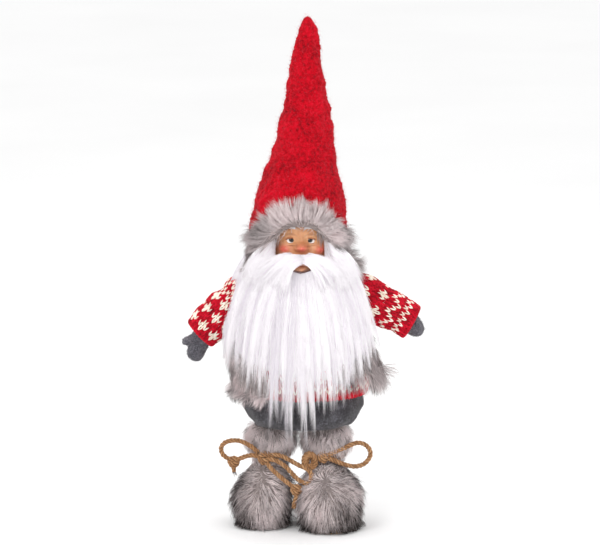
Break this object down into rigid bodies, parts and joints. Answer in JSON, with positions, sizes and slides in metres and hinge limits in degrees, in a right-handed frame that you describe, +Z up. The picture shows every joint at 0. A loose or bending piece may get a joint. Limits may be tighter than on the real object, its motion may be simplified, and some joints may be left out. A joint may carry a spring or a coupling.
{
  "type": "standing gnome figurine",
  "caption": "Stuffed tomte gnome standing on two weighted fur boots, with a tall bendable felt hat, long hair beard, knitted sleeves and posable mittens.",
  "frame": {"origin": "on the floor between the boots, under the middle of the figure", "axes": "+Z up, the figure faces -Y, +X towards its own left hand"},
  "size_m": [0.239, 0.1585, 0.4992],
  "materials": {
    "birch": "sanded birch dowel and plywood",
    "steel": "zinc-plated wire and screws",
    "weight_iron": "rough cast plate",
    "filling": "white polyester filling",
    "pellet_cloth": "plain cotton bag",
    "sweater_knit": "red and cream snowflake knit",
    "trouser_felt": "charcoal wool felt",
    "mitten_felt": "grey melange wool felt",
    "hat_felt": "nubbly red boiled wool",
    "grey_fur": "long grey-beige faux fur with dark tips",
    "white_hair": "long white combed synthetic hair",
    "resin_skin": "hand-painted resin",
    "jute": "twisted jute twine"
  },
  "bodies": {
    "torso": {"hip_board": "birch", "leg_dowel_left": "birch", "leg_dowel_right": "birch", "spine_dowel": "birch", "hip_screws": "steel", "pellet_bag": "pellet_cloth", "body_stuffing": "filling", "shoulder_wire": "steel", "sweater_body": "sweater_knit", "trousers": "trouser_felt", "fur_vest": "grey_fur", "fur_collar": "grey_fur", "head": "resin_skin", "neck_tie": "jute", "beard": "white_hair", "moustache": "white_hair", "hat_band": "grey_fur", "hat_lower": "hat_felt", "hat_stuffing_lower": "filling", "hat_wire_lower": "steel", "leg_fur_left": "grey_fur", "leg_fur_right": "grey_fur", "boot_fur_left": "grey_fur", "boot_fur_right": "grey_fur", "boot_stuffing_left": "filling", "boot_stuffing_right": "filling", "boot_weight_left": "weight_iron", "boot_weight_right": "weight_iron", "sole_left": "birch", "sole_right": "birch", "twine_wrap_left": "jute", "twine_wrap_right": "jute", "twine_bow_left": "jute", "twine_bow_right": "jute", "twine_front_loop": "jute", "twine_tail": "jute", "twine_coil_left": "jute", "knot_left": "jute", "knot_right": "jute", "knot_bow_right": "jute", "knot_tail": "jute"},
    "hat_top": {"hat_upper": "hat_felt", "hat_stuffing_upper": "filling", "hat_wire_upper": "steel"},
    "left_arm": {"sleeve_left": "sweater_knit", "arm_stuffing_left": "filling", "arm_wire_left": "steel"},
    "right_arm": {"sleeve_right": "sweater_knit", "arm_stuffing_right": "filling", "arm_wire_right": "steel"},
    "left_hand": {"mitten_left": "mitten_felt", "hand_stuffing_left": "filling", "hand_wire_left": "steel"},
    "right_hand": {"mitten_right": "mitten_felt", "hand_stuffing_right": "filling", "hand_wire_right": "steel"}
  },
  "joints": [
    {"name": "left_shoulder", "type": "hinge", "parent": "torso", "child": "left_arm", "pos_m": [0.056, 0.003, 0.228], "axis": [0, -1, 0], "range_deg": [-10, 45]},
    {"name": "right_shoulder", "type": "hinge", "parent": "torso", "child": "right_arm", "pos_m": [-0.056, 0.003, 0.228], "axis": [0, 1, 0], "range_deg": [-5, 50]},
    {"name": "left_wrist", "type": "hinge", "parent": "left_arm", "child": "left_hand", "pos_m": [0.10017, 0.003, 0.2025], "axis": [0, -1, 0], "range_deg": [-18, 30]},
    {"name": "right_wrist", "type": "hinge", "parent": "right_arm", "child": "right_hand", "pos_m": [-0.0933, 0.003, 0.19322], "axis": [0, 1, 0], "range_deg": [-4, 44]},
    {"name": "hat_bend", "type": "hinge", "parent": "torso", "child": "hat_top", "pos_m": [0.004, -0.006, 0.402], "axis": [0, 1, 0], "range_deg": [-25, 25]}
  ]
}
